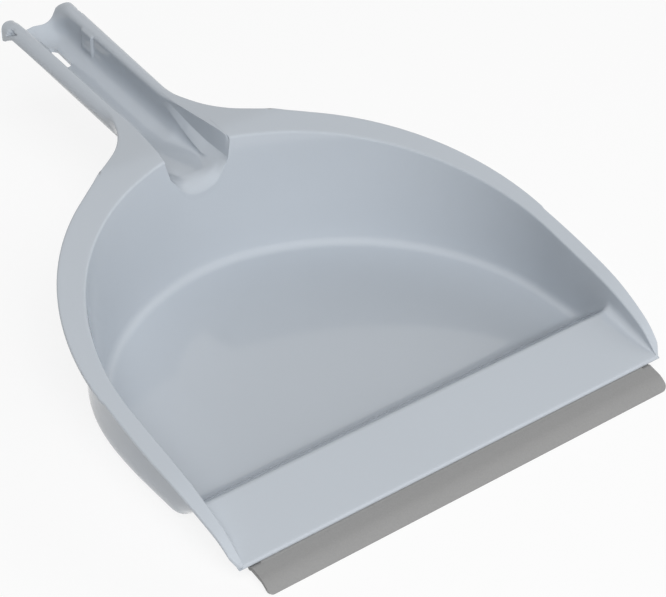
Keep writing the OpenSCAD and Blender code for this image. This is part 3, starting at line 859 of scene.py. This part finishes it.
def end_web_grids(side):
    """Two matching grids of the plate that closes a turned-down edge at the end of the grip: a four-sided
    patch across, its top and bottom bent by squares, its two faces a sheet apart."""
    u, v = np.meshgrid(np.linspace(0.0, 1.0, 7), np.linspace(0.0, 1.0, 9), indexing="ij")
    x = side * ease(*WEB_HALVES, u)
    fall = WEB_FALL * u ** 2
    z = grip_top(GRIP_END) - WEB_TOP - fall - (WEB_HEIGHT - fall - WEB_RISE * (1.0 - u) ** 2) * v
    face = np.stack([x, np.full_like(x, GRIP_END - WEB_SETBACK), z], axis=-1)
    back = face - np.array([0.0, WEB_SHEET, 0.0])
    return soft_end(face, back, WEB_END, 3, True)


def rail_grids():
    """Outer and inner grid of the rail: two arcs about the bead's axis, carried across the pan."""
    turn = np.radians(np.linspace(*RAIL_TURN, 40))
    inside, last = (RAIL_HALF - inset for inset in (RAIL_INSET, RAIL_END))
    across = np.concatenate([[-last], np.linspace(-inside, inside, 21), [last]])
    grids = [carried(across, np.array(BEAD_AT) + radius * circle(turn)) for radius in RAIL_RADII]
    return soft_end(*soft_end(*grids, RAIL_END, 3, True), RAIL_END, 3, False)


def lip_grids(sizes):
    """Upper and lower grid of the rubber lip. Its section runs from behind the bead over or under it and on
    along the blade, which is straight, then bent down in an arc, and thins evenly to a flat cut. Rows run
    across, with rounded corners in plan."""
    before, *near, after = (BEAD_HALF + offset for offset in BEAD_ROWS)
    half = np.concatenate([np.linspace(0.0, before, 40), near, np.linspace(after, LIP_HALF - LIP_LEAST, 14)])
    across = np.concatenate([-half[:0:-1], half])
    corner = sizes.corner / MM
    inset = np.clip((np.abs(across) - (LIP_HALF - corner)) / corner, 0.0, 1.0)
    short = corner * (1.0 - np.sqrt(np.maximum(1.0 - inset ** 2, 0.0)))
    sine = math.sin(BLADE_START)
    cosine = math.cos(BLADE_START)
    straight = (BLADE_ROOT[0] - BLADE_RADIUS * (math.sin(BLADE_END) - sine)) / cosine
    total = straight + BLADE_RADIUS * (BLADE_END - BLADE_START)
    s = np.concatenate([np.linspace(0.0, 1.0, 8)[:-1] * straight / total,
                        np.linspace(straight / total, TIP_ROWS[0], 20), TIP_ROWS[1:]])
    way = s[None, :] * (total - short)[:, None]
    bend = np.clip((way - straight) / BLADE_RADIUS, 0.0, None) + BLADE_START
    run = np.minimum(way, straight)
    y = BLADE_ROOT[0] - run * cosine - BLADE_RADIUS * (np.sin(bend) - sine)
    z = BLADE_ROOT[1] - run * sine - BLADE_RADIUS * (cosine - np.cos(bend))
    thick = ease(sizes.root, sizes.tip, s)[None, :, None] / MM
    outer = np.stack([y, z], axis=-1)
    inner = outer + np.stack([np.sin(bend), -np.cos(bend)], axis=-1) * thick
    left = total - short[:, None] - way
    edge = (1.0 - TIP_SHARE * smooth(1.0 - left / TIP_CUT))[..., None]
    mid = 0.5 * (outer + inner)
    bead = np.where(np.abs(across) < BEAD_HALF, BEAD_RADIUS - BEAD_SKIN, ROOT_RADIUS)[:, None, None]
    grids = []
    for end, blade in zip(BEAD_TURNS, (outer, inner)):
        turn = np.radians(np.linspace(0.0, end, 14))
        ring = np.array(BEAD_AT) + bead * circle(turn)
        blade = np.maximum(mid + (blade - mid) * edge, LIP_LEAST)
        grids.append(carried(across, np.concatenate([ring, blade], axis=1)))
    return grids


def node_tree(holder):
    """Nodes and links of a material or a world."""
    holder.use_nodes = True
    return holder.node_tree.nodes, holder.node_tree.links


def fill(node, values):
    """Sets inputs of a node by their names."""
    for name, value in values.items():
        node.inputs[name].default_value = value


def surface_group():
    """Node group that both finishes share: a colour that drifts by a few hundredths, a roughness that varies
    with fine and coarse noise, and the height of a fine texture."""
    group = bpy.data.node_groups.new("moulded_surface", "ShaderNodeTree")
    sockets = {"INPUT": ("Color", "Drift", "Speck", "Roughness", "Variation", "Grain"),
               "OUTPUT": ("Color", "Roughness", "Height")}
    for way, names in sockets.items():
        for name in names:
            kind = "NodeSocketColor" if name == "Color" else "NodeSocketFloat"
            group.interface.new_socket(name, in_out=way, socket_type=kind)
    nodes = group.nodes
    links = group.links
    given = nodes.new("NodeGroupInput").outputs
    put = nodes.new("NodeGroupOutput").inputs
    place = nodes.new("ShaderNodeTexCoord")

    def feed(socket, value):
        if isinstance(value, float):
            socket.default_value = value
        else:
            links.new(value, socket)

    def noise(scale, detail):
        node = nodes.new("ShaderNodeTexNoise")
        feed(node.inputs["Vector"], place.outputs["Object"])
        feed(node.inputs["Scale"], scale)
        feed(node.inputs["Detail"], detail)
        return node.outputs["Fac"]

    def maths(operation, *values):
        node = nodes.new("ShaderNodeMath")
        node.operation = operation
        for socket, value in zip(node.inputs, values):
            feed(socket, value)
        return node.outputs["Value"]

    cloud = noise(*CLOUD_NOISE)
    fine = noise(given["Grain"], 2.0)
    scuff = noise(*SCUFF_NOISE)
    drift = maths("MULTIPLY", maths("SUBTRACT", cloud, 0.5), given["Drift"])
    speck = maths("MULTIPLY", maths("SUBTRACT", fine, 0.5), given["Speck"])
    tone = nodes.new("ShaderNodeHueSaturation")
    links.new(given["Color"], tone.inputs["Color"])
    links.new(maths("ADD", maths("ADD", drift, speck), 1.0), tone.inputs["Value"])
    wear = maths("ADD", maths("MULTIPLY", cloud, CLOUD_WEAR), maths("MULTIPLY", scuff, SCUFF_WEAR))
    rough = maths("MULTIPLY_ADD", maths("SUBTRACT", wear, 0.5), given["Variation"], given["Roughness"])
    links.new(tone.outputs["Color"], put["Color"])
    links.new(rough, put["Roughness"])
    links.new(fine, put["Height"])
    return group


def finish_material(name, color, surface_values, bump, ior):
    """A finish, made once: the shared surface group feeds colour, roughness and a fine bump of one shader."""
    found = bpy.data.materials.get(name)
    if found:
        return found
    material = bpy.data.materials.new(name)
    nodes, links = node_tree(material)
    shader = nodes["Principled BSDF"]
    fill(shader, {"IOR": ior})
    surface = nodes.new("ShaderNodeGroup")
    surface.node_tree = bpy.data.node_groups.get("moulded_surface") or surface_group()
    fill(surface, {"Color": (*color, 1.0), **surface_values})
    texture = nodes.new("ShaderNodeBump")
    fill(texture, {"Strength": bump, "Distance": TEXTURE_DEPTH})
    links.new(surface.outputs["Color"], shader.inputs["Base Color"])
    links.new(surface.outputs["Roughness"], shader.inputs["Roughness"])
    links.new(surface.outputs["Height"], texture.inputs["Height"])
    links.new(texture.outputs["Normal"], shader.inputs["Normal"])
    material.diffuse_color = (*color, 1.0)
    return material


def dress(piece, material, body):
    """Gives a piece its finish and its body."""
    piece.data.materials.append(material)
    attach(piece, body)
    return piece


def moulded(name, *grids, **options):
    """A piece of the moulding, in glossy grey-blue plastic."""
    piece = shell(name, *grids, **options)
    color = bpy.context.scene.dustpan_finishes.plastic
    finish = finish_material("pan_plastic_gloss", color, PLASTIC, bump=0.02, ior=1.49)
    return dress(piece, finish, "pan")


class DUSTPAN_OT_tray(bpy.types.Operator):
    """Build the tray with its ramp, walls and flange"""

    bl_idname = "dustpan.tray"
    bl_label = "Tray"

    def execute(self, context):
        front = grip_grids(context.scene)[0][1]
        piece = moulded("tray", *tray_grids(context.scene.dustpan_pan, front), spine=True)
        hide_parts("pan")
        return {"FINISHED"}


class DUSTPAN_OT_grip(bpy.types.Operator):
    """Build the neck and the channel grip with its end webs"""

    bl_idname = "dustpan.grip"
    bl_label = "Grip"

    def execute(self, context):
        moulded("grip", *grip_grids(context.scene))
        for side, name in ((-1.0, "end_web_left"), (1.0, "end_web_right")):
            moulded(name, *end_web_grids(side))
        return {"FINISHED"}


class DUSTPAN_OT_rail(bpy.types.Operator):
    """Build the rail under the ramp that holds the lip"""

    bl_idname = "dustpan.rail"
    bl_label = "Lip rail"

    def execute(self, context):
        moulded("lip_rail", *rail_grids())
        return {"FINISHED"}


class DUSTPAN_OT_lip(bpy.types.Operator):
    """Build the rubber lip with its bead and bent blade"""

    bl_idname = "dustpan.lip"
    bl_label = "Rubber lip"

    def execute(self, context):
        blade = shell("lip_blade", *lip_grids(context.scene.dustpan_lip), angle=50.0)
        color = context.scene.dustpan_finishes.rubber
        finish = finish_material("lip_rubber_matt", color, RUBBER, bump=0.25, ior=1.5)
        piece = dress(blade, finish, "lip")
        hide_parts("rubber_lip")
        return {"FINISHED"}


class DUSTPAN_OT_stage(bpy.types.Operator):
    """Set up floor, even light, lamps and camera"""

    bl_idname = "dustpan.stage"
    bl_label = "Stage"

    def execute(self, context):
        settings = context.scene.dustpan_stage
        stage_floor(context.scene.dustpan_finishes.floor)
        stage_world(settings.even)
        for name, place in LAMPS.items():
            stage_lamp(name + "_lamp", place, getattr(settings, name))
        stage_camera(settings)
        context.scene.view_settings.view_transform = "Standard"
        return {"FINISHED"}


def facing(place, aim):
    """Turn of a lamp or camera at a place that looks at a point."""
    return (Vector(aim) - Vector(place)).to_track_quat("-Z", "Y").to_euler()


def stage_floor(color):
    """Pale floor: it takes light and shadow as matt paint, and shows nearly white to the camera."""
    mesh = bpy.data.meshes.new("stage_floor")
    corners = ((-1, -1), (1, -1), (1, 1), (-1, 1))
    mesh.from_pydata([(x * STAGE_HALF, y * STAGE_HALF, 0.0) for x, y in corners], [], [(0, 1, 2, 3)])
    floor = placed("stage_floor", mesh)
    floor.location.z = -STAGE_DROP
    material = bpy.data.materials.new("stage_floor_paint")
    nodes, links = node_tree(material)
    nodes.remove(nodes["Principled BSDF"])
    paint = nodes.new("ShaderNodeBsdfDiffuse")
    fill(paint, {"Color": (*color, 1.0)})
    glow = nodes.new("ShaderNodeEmission")
    fill(glow, {"Color": WHITE})
    share = nodes.new("ShaderNodeMath")
    share.operation = "MULTIPLY"
    share.inputs[1].default_value = STAGE_GLOW
    mix = nodes.new("ShaderNodeMixShader")
    links.new(seen_rays(nodes, links), share.inputs[0])
    links.new(share.outputs["Value"], mix.inputs["Fac"])
    links.new(paint.outputs["BSDF"], mix.inputs[1])
    links.new(glow.outputs["Emission"], mix.inputs[2])
    links.new(mix.outputs["Shader"], nodes["Material Output"].inputs["Surface"])
    mesh.materials.append(material)


def stage_world(even):
    """Weak even light all round. The camera and reflections see plain white instead."""
    world = bpy.data.worlds.new("stage_world")
    bpy.context.scene.world = world
    nodes, links = node_tree(world)
    sky = nodes["Background"]
    fill(sky, {"Color": WHITE})
    shown = nodes.new("ShaderNodeMix")
    fill(shown, {"A": even, "B": 1.0})
    links.new(seen_rays(nodes, links), shown.inputs["Factor"])
    links.new(shown.outputs["Result"], sky.inputs["Strength"])


def seen_rays(nodes, links):
    """One for rays that show a background: from the camera, from gloss and through clear matter."""
    path = nodes.new("ShaderNodeLightPath")
    value = path.outputs["Is Camera Ray"]
    for name in ("Is Glossy Ray", "Is Transmission Ray"):
        node = nodes.new("ShaderNodeMath")
        node.operation = "MAXIMUM"
        links.new(value, node.inputs[0])
        links.new(path.outputs[name], node.inputs[1])
        value = node.outputs["Value"]
    return value


def stage_lamp(name, place, power):
    """Square lamp that looks at the middle of the tray. Gloss mirrors the plain background only."""
    data = bpy.data.lights.new(name, "AREA")
    data.energy = power
    data.size = LAMP_SIZE
    lamp = placed(name, data)
    lamp.visible_glossy = False
    lamp.location = place
    lamp.rotation_euler = facing(place, LAMP_AIM)


def stage_camera(settings):
    """Camera with the photograph's view."""
    data = bpy.data.cameras.new("photo_camera")
    data.sensor_fit = "HORIZONTAL"
    data.sensor_width = 36.0
    data.lens = settings.lens
    data.clip_start = 0.01
    data.clip_end = 50.0
    camera = placed("photo_camera", data)
    camera.location = settings.camera_at
    camera.rotation_euler = facing(settings.camera_at, settings.camera_to)
    bpy.context.scene.camera = camera


class DUSTPAN_PT_panel(bpy.types.Panel):
    """Lists the steps and the sizes of the dustpan"""

    bl_label = "Dustpan"
    bl_idname = "DUSTPAN_PT_panel"
    bl_space_type = "VIEW_3D"
    bl_region_type = "UI"
    bl_category = "Dustpan"

    def draw(self, context):
        for step in STEPS:
            self.layout.operator(step.bl_idname)
        for name in GROUPS:
            box = self.layout.box()
            group = getattr(context.scene, name)
            for key in group.__annotations__:
                box.prop(group, key)


STEPS = (DUSTPAN_OT_tray, DUSTPAN_OT_grip, DUSTPAN_OT_rail, DUSTPAN_OT_lip, DUSTPAN_OT_stage)
GROUPS = {
    "dustpan_pan": PanSizes,
    "dustpan_grip": GripSizes,
    "dustpan_lip": LipSizes,
    "dustpan_finishes": Finishes,
    "dustpan_stage": StageSettings,
}
CLASSES = (*GROUPS.values(), *STEPS, DUSTPAN_PT_panel)


def register():
    """Registers the groups, the steps and the panel."""
    for cls in CLASSES:
        bpy.utils.register_class(cls)
    for name, cls in GROUPS.items():
        setattr(bpy.types.Scene, name, bpy.props.PointerProperty(type=cls))


def unregister():
    """Takes everything back out, in the opposite order."""
    for name in GROUPS:
        delattr(bpy.types.Scene, name)
    for cls in reversed(CLASSES):
        bpy.utils.unregister_class(cls)


def main():
    """Registers the classes and runs the steps in order."""
    register()
    bpy.ops.dustpan.tray()
    bpy.ops.dustpan.grip()
    bpy.ops.dustpan.rail()
    bpy.ops.dustpan.lip()
    bpy.ops.dustpan.stage()


if __name__ == "__main__":
    main()
